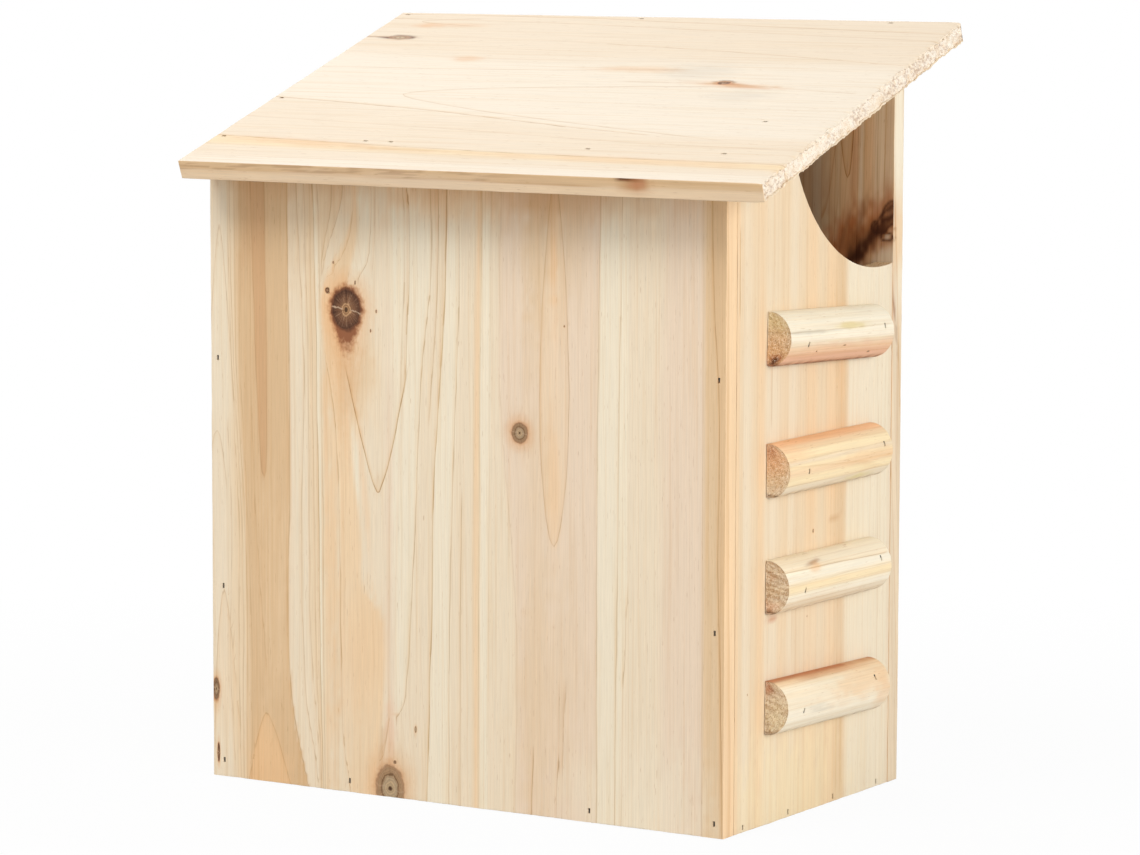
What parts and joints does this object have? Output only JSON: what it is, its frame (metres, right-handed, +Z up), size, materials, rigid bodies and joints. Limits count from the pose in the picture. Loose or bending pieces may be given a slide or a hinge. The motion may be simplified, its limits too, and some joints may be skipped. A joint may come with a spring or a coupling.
{
  "type": "bat box",
  "caption": "Fir bat box with a sloping overhanging roof, an arched way in at the top of one side and half-round landing rungs below it.",
  "frame": {"origin": "middle of the box's base, on the plane it stands on", "axes": "+Z up; +Y to the high back that goes against a wall or trunk; +X to the side with the way in and the rungs"},
  "size_m": [0.3305, 0.2025, 0.381],
  "materials": {
    "wall_fir": "unfinished planed fir",
    "roof_fir": "unfinished planed fir, pale",
    "rung_fir": "unfinished turned fir",
    "brad_steel": "dull wire"
  },
  "bodies": {
    "root": {"front_panel": "wall_fir", "back_panel": "wall_fir", "left_side": "wall_fir", "right_side": "wall_fir", "floor_board": "wall_fir", "roof_board": "roof_fir", "rung_1": "rung_fir", "rung_2": "rung_fir", "rung_3": "rung_fir", "rung_4": "rung_fir", "front_brad_1": "brad_steel", "front_brad_2": "brad_steel", "front_brad_3": "brad_steel", "front_brad_4": "brad_steel", "front_brad_5": "brad_steel", "front_brad_6": "brad_steel", "front_brad_7": "brad_steel", "front_brad_8": "brad_steel", "back_brad_1": "brad_steel", "back_brad_2": "brad_steel", "back_brad_3": "brad_steel", "back_brad_4": "brad_steel", "back_brad_5": "brad_steel", "back_brad_6": "brad_steel", "back_brad_7": "brad_steel", "back_brad_8": "brad_steel", "left_brad_1": "brad_steel", "left_brad_2": "brad_steel", "left_brad_3": "brad_steel", "left_brad_4": "brad_steel", "right_brad_1": "brad_steel", "right_brad_2": "brad_steel", "right_brad_3": "brad_steel", "right_brad_4": "brad_steel", "roof_brad_1": "brad_steel", "roof_brad_2": "brad_steel", "roof_brad_3": "brad_steel", "roof_brad_4": "brad_steel", "roof_brad_5": "brad_steel", "roof_brad_6": "brad_steel", "roof_brad_7": "brad_steel", "roof_brad_8": "brad_steel", "roof_brad_9": "brad_steel", "roof_brad_10": "brad_steel", "rung_brad_1": "brad_steel", "rung_brad_2": "brad_steel", "rung_brad_3": "brad_steel", "rung_brad_4": "brad_steel", "rung_brad_5": "brad_steel", "rung_brad_6": "brad_steel", "rung_brad_7": "brad_steel", "rung_brad_8": "brad_steel"}
  },
  "joints": []
}
